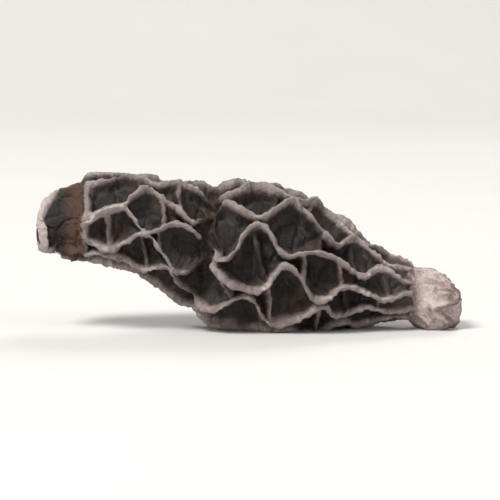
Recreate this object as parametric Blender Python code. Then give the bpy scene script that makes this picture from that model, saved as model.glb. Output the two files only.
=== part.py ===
"""A dried morel mushroom, lying on its side: a hollow cap with a net of raised ridges, on a short cut stem.

Lengths are in millimetres until tube() makes the mesh. The mushroom lies along x, with its tip at -x. Angles
round it start at the top, and a quarter turn is its front, at -y.
"""

import bmesh
import bpy
import numpy as np

MM = 0.001
TURN = 2 * np.pi

# Outer form from the tip to the cut stem, over the crests of the ridges.
# Each row is x, underside z, topside z and half width.
CAP_STATIONS = (
    (-19.3, 9.2, 9.4, 0.1),
    (-19.2, 7.8, 10.9, 1.5),
    (-18.8, 6.8, 12.0, 2.6),
    (-17.2, 6.0, 13.4, 3.6),
    (-14.2, 5.8, 14.5, 4.3),
    (-11.0, 5.3, 14.6, 4.5),
    (-7.8, 3.9, 14.1, 4.8),
    (-4.6, 1.3, 13.6, 5.4),
    (-1.4, -0.6, 13.8, 6.2),
    (1.8, -1.0, 13.6, 6.6),
    (4.8, -0.9, 12.4, 6.4),
    (8.0, -0.5, 10.1, 5.3),
    (11.2, 0.1, 8.0, 4.2),
    (13.5, 0.6, 6.7, 3.4),
    (14.6, 0.9, 6.1, 2.7),
)
STEM_STATIONS = (
    (14.9, 1.0, 5.7, 2.35),
    (15.8, 0.5, 5.5, 2.3),
    (16.8, -0.1, 5.3, 2.6),
    (17.5, -0.15, 5.1, 2.6),
    (18.2, 0.15, 4.8, 2.35),
    (18.8, 0.7, 4.25, 1.9),
    (19.3, 1.4, 3.6, 1.35),
)
SPINE_SWAY = 0.5
SPINE_SWAY_LENGTH = 7.0
# Middle of the finished mushroom, which is moved to x = 0 and y = 0.
MIDDLE = (0.0403, 0.1010, 0.0)

# Depth of the pits below the crests, at each x.
PIT_DEPTHS = (
    (-19.3, 0.0),
    (-19.1, 0.25),
    (-18.5, 0.8),
    (-15.5, 1.3),
    (-8.0, 1.55),
    (-2.0, 1.95),
    (3.0, 2.05),
    (8.0, 1.7),
    (11.5, 1.1),
    (13.5, 0.6),
    (14.6, 0.25),
)

# The long ridges. Swings and width are shares of the mean channel between two ridges. Neighbours swing
# against each other, which draws the pits out into diamonds, and each ridge wanders by itself too.
RIDGES = 12
RIDGE_HALF_WIDTH = 0.34
DIAMOND_SWING = 0.3
DIAMOND_LENGTH = 6.2
DIAMOND_STAGGER = 0.5
RIDGE_SWING = 0.2
SWING_LENGTHS = ((6.0, 9.5), (3.2, 4.6))
# Least width of a channel, as the same share. It is larger at the tip, until the reaches of TIP_REACH.
NARROWEST_CHANNEL = 0.1
NARROWEST_AT_TIP = 0.25
TIP_REACH = (5.5, 8.0)
FIRST_RIDGE_ANGLE = 0.1
TWIST = 0.35
RIDGE_LEAN = 0.3
CREST_UNEVEN = 0.1
# Every second ridge joins its neighbour this far from the tip, one in four of them further back.
JOINS_NEAR_TIP = (2.0, 4.5)
JOINS_FURTHER_BACK = (4.5, 10.0)

# The ribs that cross each channel. Their spacing is in rows of the mesh, and their height is a share
# of the ridges'.
RIB_HALF_WIDTH = 0.28
RIB_ROWS_APART = (5, 8)
RIB_HEIGHTS = (0.5, 0.9)
RIB_SLANT = 0.3
RIB_SAG = 0.5

# Walls and cut stem.
WALL = 0.95
STEM_WALL = 0.7
HOLLOW_FROM_TIP = 3.4
HOLLOW_END_LENGTH = 3.5
MOUTH_INSET = 0.2
STEM_FOLDS = 6
STEM_FOLD_DEPTH = 0.22

# Marks of drying. The creases lie on the side that faces CREASED_ANGLE.
LUMP_HEIGHT = 0.28
PUCKERS = 12
PUCKER_PUSH = 0.07
PUCKER_LENGTHS = (2.6, 7.0)
CREASED_ANGLE = 1.3
CREASED_SPREAD = 1.35
CREASE_X = -4.2
CREASE_BOW = 0.8
CREASE_WIDTH = 1.2
CREASE_DEPTH = 1.0
# The crease pinches the net too, by this share of its height.
PINCH_WIDTH = 0.7
PINCH_DEPTH = 0.75
TIP_GROOVE_X = -16.4
TIP_GROOVE_WIDTH = 0.9
TIP_GROOVE_DEPTH = 0.45
# Two folds cross the tip's creased side, the outer one a thick lip. The ridges start at the inner one.
INNER_FOLD_X = -14.4
INNER_FOLD_HALF_WIDTH = 0.34
LIP_X = -18.6
LIP_HALF_WIDTH = 0.44
TIP_FOLD_HEIGHT = 0.95
# The spot underneath where the pits are pressed shut and the mushroom lies flat.
PRESSED_X = -0.2
PRESSED_LENGTH = 4.0
PRESSED_SPREAD = 0.42

# The mesh. Rows lie a fixed step apart, so that each cross rib has a row along its crest.
# COLUMNS are the places of the mesh's columns across one channel, as shares of its width.
ROW_STEP = 0.7
COLUMNS = (0.0, 0.13, 0.31, 0.5, 0.69, 0.87)
HOLLOW_ROWS = 13
HOLLOW_ROWS_AT_CREASE = (-5.6, -4.2)
SEED = 11

SKIN_COLOUR = (0.075, 0.056, 0.050, 1.0)
SKIN_ROUGHNESS = 0.8


def smooth_through(knots, values, at):
    """A cubic curve through the values at the knots, read at the positions given."""
    knots = np.asarray(knots, float)
    values = np.asarray(values, float)
    slopes = np.gradient(values, knots)
    k = np.clip(np.searchsorted(knots, at) - 1, 0, len(knots) - 2)
    span = knots[k + 1] - knots[k]
    q = (at - knots[k]) / span
    rise = values[k] * (1 + 2 * q) * (1 - q) ** 2 + values[k + 1] * q**2 * (3 - 2 * q)
    bend = slopes[k] * q * (1 - q) ** 2 - slopes[k + 1] * q**2 * (1 - q)
    return rise + bend * span


def step_between(low, high, value):
    """0 at low, 1 at high and a smooth rise between them."""
    q = np.clip((value - low) / (high - low), 0.0, 1.0)
    return q * q * (3 - 2 * q)


def ripple(rng, at, wavelengths):
    """A smooth random wave between -1 and 1 along the positions given."""
    total = 0.0
    for share, (short, long) in zip((0.6, 0.4), wavelengths):
        total = total + share * np.sin(TURN * (at / rng.uniform(short, long) + rng.uniform()))
    return total


def patches(rng, reach, angle, lengths, turns):
    """A smooth random field between -1 and 1 over the skin, closed round the mushroom."""
    total = 0.0
    for share in (0.4, 0.35, 0.25):
        phase = reach / rng.uniform(*lengths) + rng.uniform()
        total = total + share * np.sin(TURN * phase + rng.integers(*turns) * angle)
    return total


def wall_profile(distance, half_width):
    """Height of a ridge, as a share of its crest, that far to the side of it."""
    return 1 / (1 + (distance / half_width) ** 4)


STATIONS = np.array(CAP_STATIONS + STEM_STATIONS)
STATION_RADII = (STATIONS[:, 2] - STATIONS[:, 1] + 2 * STATIONS[:, 3]) / 4
# How far along the outline, from the tip, each station lies, and the cap's margin with them.
REACH = np.concatenate(([0.0], np.cumsum(np.hypot(np.diff(STATIONS[:, 0]), np.diff(STATION_RADII)))))
MARGIN = REACH[len(CAP_STATIONS) - 1]


def outline(reach):
    """x, underside, topside and half width of the outer form, that far along the outline from the tip."""
    return [smooth_through(REACH, STATIONS[:, k], reach) for k in range(4)]


def pit_depth(x):
    """Depth of the pits at each x."""
    knots = np.array(PIT_DEPTHS)
    return smooth_through(knots[:, 0], knots[:, 1], np.clip(x, knots[0, 0], knots[-1, 0]))


def ring_points(x, middle, half_height, half_width, angle):
    """Elliptical rings at each x, about a middle line that sways a little from side to side."""
    sway = SPINE_SWAY * np.sin(x / SPINE_SWAY_LENGTH)
    y = sway[:, None] - half_width[:, None] * np.sin(angle)
    z = middle[:, None] + half_height[:, None] * np.cos(angle)
    return np.stack([np.broadcast_to(x[:, None], y.shape), y, z], axis=2)


def directions(points):
    """Unit vectors round the mushroom and out of its skin, at each point of a stack of rings."""
    around = np.roll(points, -1, axis=1) - np.roll(points, 1, axis=1)
    along = np.gradient(points, axis=0)
    outward = np.cross(around, along)
    outward[0] = outward[1].mean(axis=0)
    around /= np.maximum(np.linalg.norm(around, axis=2, keepdims=True), 1e-6)
    outward /= np.maximum(np.linalg.norm(outward, axis=2, keepdims=True), 1e-9)
    return around, outward


def ridge_angles(reach):
    """Angle of each ridge round the cap, row by row, and of the first one again after a full turn."""
    rng = np.random.default_rng(SEED)
    settle = step_between(MARGIN + 1.0, MARGIN - 3.0, reach)
    places = []
    for ridge in range(RIDGES):
        diamonds = np.sin(TURN * reach / DIAMOND_LENGTH + DIAMOND_STAGGER * ridge) * (-1) ** ridge
        swing = (RIDGE_SWING * ripple(rng, reach, SWING_LENGTHS) + DIAMOND_SWING * diamonds) * settle
        if ridge % 2:
            join = rng.uniform(*(JOINS_FURTHER_BACK if ridge % 4 == 1 else JOINS_NEAR_TIP))
            joined = step_between(join + 2.5, join - 2.5, reach)
            swing = swing * (1 - joined) + rng.choice((-1, 1)) * joined
        places.append(ridge + swing)
    past_tip = step_between(*TIP_REACH, reach)
    narrowest = NARROWEST_AT_TIP + (NARROWEST_CHANNEL - NARROWEST_AT_TIP) * past_tip
    widths = np.maximum(np.diff(places + [places[0] + RIDGES], axis=0), narrowest)
    ends = np.cumsum(widths, axis=0) / widths.sum(axis=0)
    first = TURN * places[0] / RIDGES + FIRST_RIDGE_ANGLE + TWIST * (1 - reach / MARGIN)
    return first + TURN * np.vstack([np.zeros_like(reach), ends])


def ribs_across(rng, reach, gap):
    """Height of the ribs across one channel at each row and column, as a share of the ridges' height."""
    last_row = int(MARGIN / ROW_STEP)
    row = int(rng.integers(3, 8))
    across = np.array(COLUMNS)
    tallest = np.zeros((len(reach), len(COLUMNS)))
    while row < last_row - 2:
        height = rng.uniform(*RIB_HEIGHTS) * (1 - RIB_SAG * across * (1 - across))
        slant = rng.uniform(-RIB_SLANT, RIB_SLANT) * (across - 0.5)
        off = (reach - row * ROW_STEP)[:, None] - gap[:, None] * slant
        tallest = np.maximum(tallest, height * wall_profile(off, RIB_HALF_WIDTH))
        row += int(rng.integers(*RIB_ROWS_APART))
    return tallest


def net_height(reach, ridges, girth, angle):
    """Height of the net at every row and column, as a share of the depth of the pits.

    reach and girth, the mean radius, have one value a row. ridges holds each ridge's angle in each row, and
    angle that of each column.
    """
    rng = np.random.default_rng(SEED + 1)
    across = np.array(COLUMNS)
    channels = []
    for channel in range(RIDGES):
        gap = (ridges[channel + 1] - ridges[channel]) * girth
        near = wall_profile(across * gap[:, None], RIDGE_HALF_WIDTH)
        far = wall_profile((1 - across) * gap[:, None], RIDGE_HALF_WIDTH)
        ribs = ribs_across(rng, reach, gap)
        channels.append((near**6 + far**6 + ribs**6) ** (1 / 6))
    net = folded_tip(np.concatenate(channels, axis=1), reach, angle)
    return net * (1 - CREST_UNEVEN * (1 + patches(rng, reach[:, None], angle, (4.0, 9.0), (-6, 7))))


def folded_tip(net, reach, angle):
    """The net's height, with two folds across the tip's creased side, and no ridges beyond them."""
    inner, lip = np.interp((INNER_FOLD_X, LIP_X), STATIONS[:, 0], REACH)
    front = TIP_FOLD_HEIGHT * creased(angle)
    inner_fold = front * wall_profile(reach[:, None] - inner, INNER_FOLD_HALF_WIDTH)
    lip_fold = front * wall_profile(reach[:, None] - lip, LIP_HALF_WIDTH)
    faded = net * (1 - creased(angle) * step_between(inner, inner - 1.0, reach)[:, None])
    return (faded**6 + inner_fold**6 + lip_fold**6) ** (1 / 6)


def creased(angle):
    """1 on the creased side of the mushroom, falling smoothly to 0 on the other."""
    off = (angle - CREASED_ANGLE + np.pi) % TURN - np.pi
    return np.exp(-((off / CREASED_SPREAD) ** 4))


def pinched(x, angle):
    """Share of the net's height that the crease across the middle leaves at each point."""
    off = (x - CREASE_X - CREASE_BOW * np.cos(angle)) / PINCH_WIDTH
    return 1 - PINCH_DEPTH * np.exp(-(off**2)) * creased(angle)


def creases(points, angle):
    """Depth of the crease across the middle and of the groove behind the tip, at each point."""
    x = points[..., 0]
    crease = CREASE_DEPTH * np.exp(-(((x - CREASE_X - CREASE_BOW * np.cos(angle)) / CREASE_WIDTH) ** 2))
    groove = TIP_GROOVE_DEPTH * np.exp(-(((x - TIP_GROOVE_X) / TIP_GROOVE_WIDTH) ** 2))
    return (crease + groove) * creased(angle)


def lumps(points, angle):
    """How far the drying has swollen or sunk the wall at each point."""
    x = points[..., 0]
    swell = LUMP_HEIGHT * np.sin(x / 2.9 + 1.7 * np.sin(angle)) * np.sin(x / 4.3 + 2 * angle)
    return swell * step_between(-19.0, -14.0, x) * step_between(14.5, 11.0, x) - creases(points, angle)


def pressed(x, angle):
    """1 in the middle of the spot that the mushroom lies on, falling smoothly to 0 round it."""
    off = (angle % TURN - np.pi) / PRESSED_SPREAD
    return np.exp(-(((x[:, None] - PRESSED_X) / PRESSED_LENGTH) ** 4) - off**4)


def stem_folds(reach, angle):
    """Height of the folds that run along the cut stem."""
    start = step_between(MARGIN + 0.5, MARGIN + 2.5, reach)
    end = step_between(REACH[-1], REACH[-1] - 1.0, reach)
    return STEM_FOLD_DEPTH * (start * end)[:, None] * np.cos(STEM_FOLDS * angle + np.sin(reach)[:, None])


def outer_skin():
    """Rings of points on the outside, from the tip to the rim of the cut stem, and each point's angle."""
    reach = np.append(np.arange(0.0, REACH[-1], ROW_STEP), REACH[-1])
    x, under, top, half = outline(reach)
    depth = pit_depth(x) * step_between(MARGIN + 0.5, MARGIN - 0.2, reach)
    ridges = ridge_angles(reach)
    share = np.tile(COLUMNS, RIDGES)[:, None]
    channel = np.repeat(np.arange(RIDGES), len(COLUMNS))
    angle = (ridges[channel] * (1 - share) + ridges[channel + 1] * share).T
    net = net_height(reach, ridges, (top - under + 2 * half) / 4, angle) * pinched(x[:, None], angle)
    height = (net + (1 - net) * pressed(x, angle)) * depth[:, None]
    floor = ring_points(x, (under + top) / 2, (top - under) / 2 - depth, half - depth, angle)
    around, outward = directions(floor)
    lean = RIDGE_LEAN * patches(np.random.default_rng(SEED + 3), reach[:, None], angle, (7.0, 13.0), (-3, 4))
    out = height + stem_folds(reach, angle) + lumps(floor, angle)
    return floor + outward * out[..., None] + around * (lean * height)[..., None], angle


def hollow_skin(angle):
    """Rings of points in the hollow, from its mouth in the stem to its blind end under the tip."""
    mouth = STATIONS[-1, 0] - MOUTH_INSET
    end = STATIONS[0, 0] + HOLLOW_FROM_TIP
    x = end + (mouth - end) * np.cos(np.linspace(0, np.pi / 2, HOLLOW_ROWS))
    x = np.sort(np.append(x, HOLLOW_ROWS_AT_CREASE))[::-1]
    cap = np.array(CAP_STATIONS)
    stem = np.array(STEM_STATIONS[1:])
    under, top, half = [np.interp(x, cap[:, 0], cap[:, k]) for k in (1, 2, 3)]
    stem_under, stem_top, stem_half = [np.interp(x, stem[:, 0], stem[:, k]) for k in (1, 2, 3)]
    in_stem = step_between(11.5, 15.5, x)
    closing = np.sqrt(1 - np.clip(1 - (x - end) / HOLLOW_END_LENGTH, 0, 1) ** 2)
    wall = pit_depth(x) + WALL
    middle = (under + top) / 2 * (1 - in_stem) + (stem_under + stem_top) / 2 * in_stem
    tall = ((top - under) / 2 - wall) * (1 - in_stem) + ((stem_top - stem_under) / 2 - STEM_WALL) * in_stem
    wide = (half - wall) * (1 - in_stem) + (stem_half - STEM_WALL) * in_stem
    points = ring_points(x, middle, tall * closing, wide * closing, angle + np.zeros((len(x), 1)))
    sunk = 1 - creases(points, angle) / np.maximum((tall + wide) / 2 * closing, 0.5)[:, None]
    centre = points.mean(axis=1, keepdims=True)
    return centre + (points - centre) * np.maximum(sunk, 0.3)[..., None]


def shrivelled(points):
    """The points, each pushed a little by the same waves, as the whole mushroom puckers in drying."""
    rng = np.random.default_rng(SEED + 2)
    pushed = points.copy()
    for _ in range(PUCKERS):
        heading = rng.normal(size=3)
        heading /= np.linalg.norm(heading)
        push = rng.normal(size=3) * PUCKER_PUSH
        wave = np.sin(TURN * (points @ heading / rng.uniform(*PUCKER_LENGTHS) + rng.uniform()))
        pushed += wave[..., None] * push
    return pushed


def tube(name, rings):
    """A closed mesh over the rings of points, whose first and last rings are each a single point."""
    count, around = rings.shape[:2]
    mesh = bmesh.new()
    bmesh.ops.create_grid(mesh, x_segments=around, y_segments=count - 1, size=1.0)
    for vert in mesh.verts:
        column = round((vert.co.x + 1) / 2 * around) % around
        row = round((vert.co.y + 1) / 2 * (count - 1))
        vert.co = rings[row, column] * MM
    bmesh.ops.remove_doubles(mesh, verts=mesh.verts, dist=0.000001)
    bmesh.ops.triangulate(mesh, faces=mesh.faces, quad_method="SHORT_EDGE")
    bmesh.ops.recalc_face_normals(mesh, faces=mesh.faces)
    data = bpy.data.meshes.new(name)
    mesh.to_mesh(data)
    mesh.free()
    return data


def dried_skin():
    """The material of the whole mushroom, dark brown leathery flesh."""
    material = bpy.data.materials.new("dried_skin")
    material.use_nodes = True
    surface = material.node_tree.nodes["Principled BSDF"]
    surface.inputs["Base Color"].default_value = SKIN_COLOUR
    surface.inputs["Roughness"].default_value = SKIN_ROUGHNESS
    surface.inputs["Metallic"].default_value = 0.0
    return material


def morel():
    """The mushroom, cap and stem in one hollow piece, flattened a little where it lies."""
    outside, angle = outer_skin()
    rings = shrivelled(np.concatenate([outside, hollow_skin(angle[-1])])) - MIDDLE
    rings[..., 2] = np.maximum(rings[..., 2], 0.0)
    for end in (0, -1):
        rings[end] = rings[end].mean(axis=0)
    piece = bpy.data.objects.new("morel", tube("morel", rings))
    piece.data.materials.append(dried_skin())
    return piece


def main():
    for obj in list(bpy.data.objects):
        bpy.data.objects.remove(obj)
    collection = bpy.data.collections.new("dried_morel")
    bpy.context.scene.collection.children.link(collection)
    collection.objects.link(morel())


main()
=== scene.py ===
"""Looks of a dried morel: its net in full, the wrinkles of drying, its skins and a plain studio."""

import logging
import math
from dataclasses import dataclass
from enum import Enum, IntEnum
from functools import cached_property

import bpy
import numpy as np
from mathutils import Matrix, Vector


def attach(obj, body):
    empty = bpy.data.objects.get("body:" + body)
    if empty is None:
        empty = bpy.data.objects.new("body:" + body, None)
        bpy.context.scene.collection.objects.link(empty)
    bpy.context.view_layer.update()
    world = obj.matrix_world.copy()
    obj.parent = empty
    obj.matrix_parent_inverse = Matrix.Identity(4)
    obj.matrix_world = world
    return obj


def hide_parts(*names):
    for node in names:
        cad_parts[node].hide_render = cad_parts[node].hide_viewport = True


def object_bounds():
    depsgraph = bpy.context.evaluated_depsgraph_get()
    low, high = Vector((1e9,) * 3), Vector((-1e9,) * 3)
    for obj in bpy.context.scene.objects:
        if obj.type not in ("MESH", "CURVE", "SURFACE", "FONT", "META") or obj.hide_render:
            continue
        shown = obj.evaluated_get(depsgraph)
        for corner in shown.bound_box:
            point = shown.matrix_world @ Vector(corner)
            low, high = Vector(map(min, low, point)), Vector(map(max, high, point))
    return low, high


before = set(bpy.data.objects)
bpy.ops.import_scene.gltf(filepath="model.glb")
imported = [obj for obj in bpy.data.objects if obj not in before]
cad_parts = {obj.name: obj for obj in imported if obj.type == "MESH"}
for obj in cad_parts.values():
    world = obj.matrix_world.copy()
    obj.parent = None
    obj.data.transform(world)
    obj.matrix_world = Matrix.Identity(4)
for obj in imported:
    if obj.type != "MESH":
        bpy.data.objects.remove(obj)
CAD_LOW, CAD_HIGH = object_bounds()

MM = 0.001
TURN = 2 * np.pi
# The higher the power, the sharper the corner where two walls meet.
JOIN_POWER = 6
# Keeps a vector without length from being divided by nothing.
LEAST_LENGTH = 1e-9

log = logging.getLogger("morel")


# Curves and random waves


def smooth_through(knots: np.ndarray, values: np.ndarray, at: np.ndarray) -> np.ndarray:
    """Reads a cubic curve through some values.

    Args:
        knots: Positions of the values, rising.
        values: Value at each knot.
        at: Positions to read.

    Returns:
        The curve at those positions.
    """
    slopes = np.gradient(values, knots)
    k = np.clip(np.searchsorted(knots, at) - 1, 0, len(knots) - 2)
    span = knots[k + 1] - knots[k]
    q = (at - knots[k]) / span
    rise = values[k] * (1 + 2 * q) * (1 - q) ** 2 + values[k + 1] * q**2 * (3 - 2 * q)
    bend = slopes[k] * q * (1 - q) ** 2 - slopes[k + 1] * q**2 * (1 - q)
    return rise + bend * span


def step_between(low: float, high: float, value: np.ndarray) -> np.ndarray:
    """Rises smoothly from 0 at low to 1 at high.

    Args:
        low: Value where the step starts.
        high: Value where it ends, which may be below low.
        value: Values to read it at.

    Returns:
        The step at those values.
    """
    q = np.clip((value - low) / (high - low), 0.0, 1.0)
    return q * q * (3 - 2 * q)


def ripple(rng: np.random.Generator, at: np.ndarray, wavelengths: tuple) -> np.ndarray:
    """Makes a smooth random wave between -1 and 1.

    Args:
        rng: Seeded source of its lengths and phases.
        at: Positions along it.
        wavelengths: Shortest and longest length of its two parts.

    Returns:
        The wave at those positions.
    """
    total = 0.0
    for share, (short, long) in zip((0.6, 0.4), wavelengths):
        total = total + share * np.sin(TURN * (at / rng.uniform(short, long) + rng.uniform()))
    return total


def patches(
    rng: np.random.Generator, reach: np.ndarray, angle: np.ndarray, lengths: tuple, turns: tuple
) -> np.ndarray:
    """Makes a smooth random field between -1 and 1 over the skin, closed round the mushroom.

    Args:
        rng: Seeded source of its waves.
        reach: Distance of each row from the tip, in mm.
        angle: Angle of each point round the mushroom.
        lengths: Shortest and longest wave along the mushroom, in mm.
        turns: Lowest and highest count of waves round it.

    Returns:
        The field at each point.
    """
    total = 0.0
    for share in (0.4, 0.35, 0.25):
        phase = reach / rng.uniform(*lengths) + rng.uniform()
        total = total + share * np.sin(TURN * phase + rng.integers(*turns) * angle)
    return total


def wall_profile(distance: np.ndarray, half_width: float) -> np.ndarray:
    """Gives the height of a ridge's wall, as a share of its crest.

    Args:
        distance: How far to the side of the crest, in mm.
        half_width: Distance at which the wall has half its height.

    Returns:
        The share at each distance.
    """
    return 1 / (1 + (distance / half_width) ** 4)


def tallest_of(*heights: np.ndarray) -> np.ndarray:
    """Joins walls that meet, with a small rounding where one passes into another.

    Args:
        heights: Height of each wall at the same points.

    Returns:
        The height of the joined walls.
    """
    return sum(height**JOIN_POWER for height in heights) ** (1 / JOIN_POWER)


# Form of the mushroom


@dataclass(frozen=True)
class Outline:
    """Outer form over the crests of the ridges.

    Stations hold x, underside z, topside z and half width, in mm. Pit depths hold x and depth.
    """

    cap: tuple = (
        (-19.3, 9.2, 9.4, 0.1),
        (-19.2, 7.8, 10.9, 1.5),
        (-18.8, 6.8, 12.0, 2.6),
        (-17.2, 6.0, 13.4, 3.6),
        (-14.2, 5.8, 14.5, 4.3),
        (-11.0, 5.3, 14.6, 4.5),
        (-7.8, 3.9, 14.1, 4.8),
        (-4.6, 1.3, 13.6, 5.4),
        (-1.4, -0.6, 13.8, 6.2),
        (1.8, -1.0, 13.6, 6.6),
        (4.8, -0.9, 12.4, 6.4),
        (8.0, -0.5, 10.1, 5.3),
        (11.2, 0.1, 8.0, 4.2),
        (13.5, 0.6, 6.7, 3.4),
        (14.6, 0.9, 6.1, 2.7),
    )
    stem: tuple = (
        (14.9, 1.0, 5.7, 2.35),
        (15.8, 0.5, 5.5, 2.3),
        (16.8, -0.1, 5.3, 2.6),
        (17.5, -0.15, 5.1, 2.6),
        (18.2, 0.15, 4.8, 2.35),
        (18.8, 0.7, 4.25, 1.9),
        (19.3, 1.4, 3.6, 1.35),
    )
    pit_depths: tuple = (
        (-19.3, 0.0),
        (-19.1, 0.25),
        (-18.5, 0.8),
        (-15.5, 1.3),
        (-8.0, 1.55),
        (-2.0, 1.95),
        (3.0, 2.05),
        (8.0, 1.7),
        (11.5, 1.1),
        (13.5, 0.6),
        (14.6, 0.25),
    )
    spine_sway: float = 0.5
    spine_sway_length: float = 7.0
    middle: tuple = (0.0403, 0.1010, 0.0)

    @cached_property
    def stations(self) -> np.ndarray:
        """All stations from the tip to the cut stem."""
        return np.array(self.cap + self.stem)

    @cached_property
    def reach(self) -> np.ndarray:
        """Distance of each station from the tip along the outline."""
        radii = (self.stations[:, 2] - self.stations[:, 1] + 2 * self.stations[:, 3]) / 4
        steps = np.hypot(np.diff(self.stations[:, 0]), np.diff(radii))
        return np.concatenate(([0.0], np.cumsum(steps)))

    @property
    def margin(self) -> float:
        """Distance of the cap's margin from the tip along the outline."""
        return float(self.reach[len(self.cap) - 1])

    def at(self, reach: np.ndarray) -> list[np.ndarray]:
        """Reads the outline.

        Args:
            reach: Distances from the tip along it.

        Returns:
            x, underside z, topside z and half width there.
        """
        return [smooth_through(self.reach, self.stations[:, k], reach) for k in range(4)]

    def pit_depth(self, x: np.ndarray) -> np.ndarray:
        """Gives the depth of the pits at each x."""
        knots = np.array(self.pit_depths)
        return smooth_through(knots[:, 0], knots[:, 1], np.clip(x, knots[0, 0], knots[-1, 0]))

    def rings(
        self, x: np.ndarray, middle: np.ndarray, tall: np.ndarray, wide: np.ndarray, angle: np.ndarray
    ) -> np.ndarray:
        """Lays elliptical rings about a middle line that sways a little from side to side.

        Args:
            x: Place of each ring.
            middle: Height of each ring's centre.
            tall: Half height of each ring.
            wide: Half width of each ring.
            angle: Angle of each point, from the top round by the front.

        Returns:
            Points, by ring, column and axis.
        """
        sway = self.spine_sway * np.sin(x / self.spine_sway_length)
        y = sway[:, None] - wide[:, None] * np.sin(angle)
        z = middle[:, None] + tall[:, None] * np.cos(angle)
        return np.stack([np.broadcast_to(x[:, None], y.shape), y, z], axis=2)


@dataclass(frozen=True)
class RidgeNet:
    """The net of long ridges and cross ribs that walls the pits, in mm and in shares of a channel."""

    ridges: int = 12
    half_width: float = 0.34
    swing: float = 0.2
    swing_lengths: tuple = ((6.0, 9.5), (3.2, 4.6))
    diamond_swing: float = 0.3
    diamond_length: float = 6.2
    diamond_stagger: float = 0.5
    narrowest_channel: float = 0.1
    narrowest_at_tip: float = 0.25
    tip_reach: tuple = (5.5, 8.0)
    first_angle: float = 0.1
    twist: float = 0.35
    lean: float = 0.3
    crest_uneven: float = 0.1
    joins_near_tip: tuple = (2.0, 4.5)
    joins_further_back: tuple = (4.5, 10.0)
    join_length: float = 5.0
    settle_from_margin: tuple = (1.0, -3.0)
    first_rib_step: tuple = (3, 8)
    last_rib_from_margin: int = 2
    rib_half_width: float = 0.28
    rib_steps_apart: tuple = (5, 8)
    rib_heights: tuple = (0.5, 0.9)
    rib_slant: float = 0.3
    rib_sag: float = 0.5
    uneven_lengths: tuple = (4.0, 9.0)
    uneven_turns: tuple = (-6, 7)
    lean_lengths: tuple = (7.0, 13.0)
    lean_turns: tuple = (-3, 4)
    step: float = 0.7
    seed: int = 11

    def ridge_angles(self, reach: np.ndarray, margin: float) -> np.ndarray:
        """Places each long ridge round the cap, odd ones joining a neighbour near the tip.

        Args:
            reach: Distance of each row from the tip.
            margin: Distance of the cap's margin from the tip.

        Returns:
            Angles by ridge and row, the first ridge again at the end after a full turn.
        """
        rng = np.random.default_rng(self.seed)
        settle = step_between(*(margin + off for off in self.settle_from_margin), reach)
        places = []
        for ridge in range(self.ridges):
            phase = TURN * reach / self.diamond_length + self.diamond_stagger * ridge
            diamonds = self.diamond_swing * (np.sin(phase) * (-1) ** ridge)
            swing = (self.swing * ripple(rng, reach, self.swing_lengths) + diamonds) * settle
            if ridge % 2:
                join = rng.uniform(*(self.joins_further_back if ridge % 4 == 1 else self.joins_near_tip))
                joined = step_between(join + self.join_length / 2, join - self.join_length / 2, reach)
                swing = swing * (1 - joined) + rng.choice((-1, 1)) * joined
            places.append(ridge + swing)
        past_tip = step_between(*self.tip_reach, reach)
        widening = self.narrowest_channel - self.narrowest_at_tip
        narrowest = self.narrowest_at_tip + widening * past_tip
        widths = np.maximum(np.diff(places + [places[0] + self.ridges], axis=0), narrowest)
        ends = np.cumsum(widths, axis=0) / widths.sum(axis=0)
        first = TURN * places[0] / self.ridges + self.first_angle + self.twist * (1 - reach / margin)
        return first + TURN * np.vstack([np.zeros_like(reach), ends])

    def ribs_across(
        self, rng: np.random.Generator, reach: np.ndarray, gap: np.ndarray, across: np.ndarray,
        margin: float
    ) -> np.ndarray:
        """Raises the ribs that cross one channel.

        Args:
            rng: Seeded source of their places.
            reach: Distance of each row from the tip.
            gap: Width of the channel at each row.
            across: Place of each column across the channel, from 0 to 1.
            margin: Distance of the cap's margin from the tip.

        Returns:
            Height by row and column, as a share of the ridges'.
        """
        last = int(margin / self.step)
        place = int(rng.integers(*self.first_rib_step))
        tallest = np.zeros((len(reach), len(across)))
        while place < last - self.last_rib_from_margin:
            height = rng.uniform(*self.rib_heights) * (1 - self.rib_sag * across * (1 - across))
            slant = rng.uniform(-self.rib_slant, self.rib_slant) * (across - 0.5)
            off = (reach - place * self.step)[:, None] - gap[:, None] * slant
            tallest = np.maximum(tallest, height * wall_profile(off, self.rib_half_width))
            place += int(rng.integers(*self.rib_steps_apart))
        return tallest


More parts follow.
